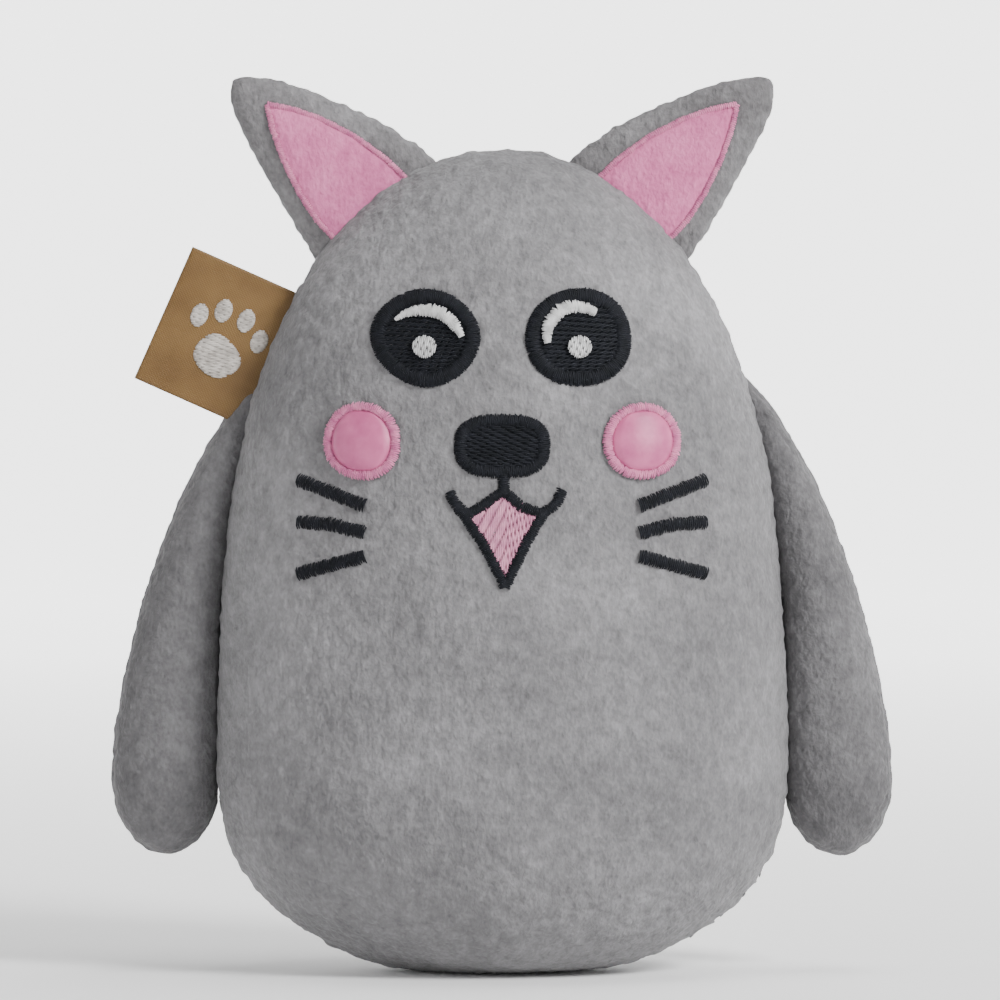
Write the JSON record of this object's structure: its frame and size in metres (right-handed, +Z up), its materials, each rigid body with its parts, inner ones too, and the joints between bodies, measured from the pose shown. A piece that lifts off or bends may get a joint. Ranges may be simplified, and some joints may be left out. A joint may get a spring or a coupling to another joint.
{
  "type": "plush cat",
  "caption": "Small egg-shaped stuffed plush cat with an embroidered face, padded ears, hanging arms and a folded side label.",
  "frame": {"origin": "on the resting surface, under the middle of the toy", "axes": "+X to the viewer's right when facing the face, -Y out of the face, +Z up to the ears"},
  "size_m": [0.154, 0.0615, 0.1757],
  "materials": {
    "grey_plush": "short dense pile",
    "stuffing": "loose fibre",
    "pink_plush": "short felt pile",
    "pink_thread": "satin stitch",
    "pink_satin": "smooth satin",
    "black_thread": "satin stitch",
    "white_thread": "satin stitch",
    "label_ribbon": "woven satin ribbon",
    "label_thread": "woven thread",
    "grey_thread": "sewing thread"
  },
  "bodies": {
    "body": {"front_panel": "grey_plush", "back_panel": "grey_plush", "body_stuffing": "stuffing", "left_eye": "black_thread", "left_eye_glint": "white_thread", "left_eye_crescent": "white_thread", "left_cheek": "pink_satin", "left_cheek_border": "pink_thread", "left_whiskers": "black_thread", "right_eye": "black_thread", "right_eye_glint": "white_thread", "right_eye_crescent": "white_thread", "right_cheek": "pink_satin", "right_cheek_border": "pink_thread", "right_whiskers": "black_thread", "nose": "black_thread", "mouth_outline": "black_thread", "tongue": "pink_satin", "closing_stitches": "grey_thread"},
    "label": {"label_ribbon": "label_ribbon", "label_motif": "label_thread"},
    "left_ear": {"left_ear_wadding": "stuffing", "left_ear_front_panel": "grey_plush", "left_ear_back_panel": "grey_plush", "left_inner_ear": "pink_plush", "left_inner_ear_border": "pink_thread"},
    "left_shoulder": {"left_arm_root": "grey_plush"},
    "left_arm": {"left_arm_front_panel": "grey_plush", "left_arm_back_panel": "grey_plush", "left_arm_stuffing": "stuffing"},
    "right_ear": {"right_ear_wadding": "stuffing", "right_ear_front_panel": "grey_plush", "right_ear_back_panel": "grey_plush", "right_inner_ear": "pink_plush", "right_inner_ear_border": "pink_thread"},
    "right_shoulder": {"right_arm_root": "grey_plush"},
    "right_arm": {"right_arm_front_panel": "grey_plush", "right_arm_back_panel": "grey_plush", "right_arm_stuffing": "stuffing"}
  },
  "joints": [
    {"name": "left_ear_fold", "type": "hinge", "parent": "body", "child": "left_ear", "pos_m": [-0.02754, 0, 0.14779], "axis": [0.7278, 0, 0.6858], "range_deg": [-30, 30], "stiffness_Nm_per_rad": 0.02},
    {"name": "left_arm_sweep", "type": "hinge", "parent": "body", "child": "left_shoulder", "pos_m": [-0.05191, 0, 0.107], "axis": [0.3337, 0, 0.9427], "range_deg": [-30, 30]},
    {"name": "left_arm_raise", "type": "hinge", "parent": "left_shoulder", "child": "left_arm", "pos_m": [-0.0538, 0, 0.104], "axis": [0, 1, 0], "range_deg": [0, 60]},
    {"name": "right_ear_fold", "type": "hinge", "parent": "body", "child": "right_ear", "pos_m": [0.02754, 0, 0.14779], "axis": [0.7278, 0, -0.6858], "range_deg": [-30, 30], "stiffness_Nm_per_rad": 0.02},
    {"name": "right_arm_sweep", "type": "hinge", "parent": "body", "child": "right_shoulder", "pos_m": [0.05191, 0, 0.107], "axis": [0.3337, 0, -0.9427], "range_deg": [-30, 30]},
    {"name": "right_arm_raise", "type": "hinge", "parent": "right_shoulder", "child": "right_arm", "pos_m": [0.0538, 0, 0.104], "axis": [0, -1, 0], "range_deg": [0, 60]},
    {"name": "label_fold", "type": "hinge", "parent": "body", "child": "label", "pos_m": [-0.04547, 0, 0.121], "axis": [0.3539, 0, 0.9353], "range_deg": [-40, 40], "stiffness_Nm_per_rad": 0.002}
  ]
}
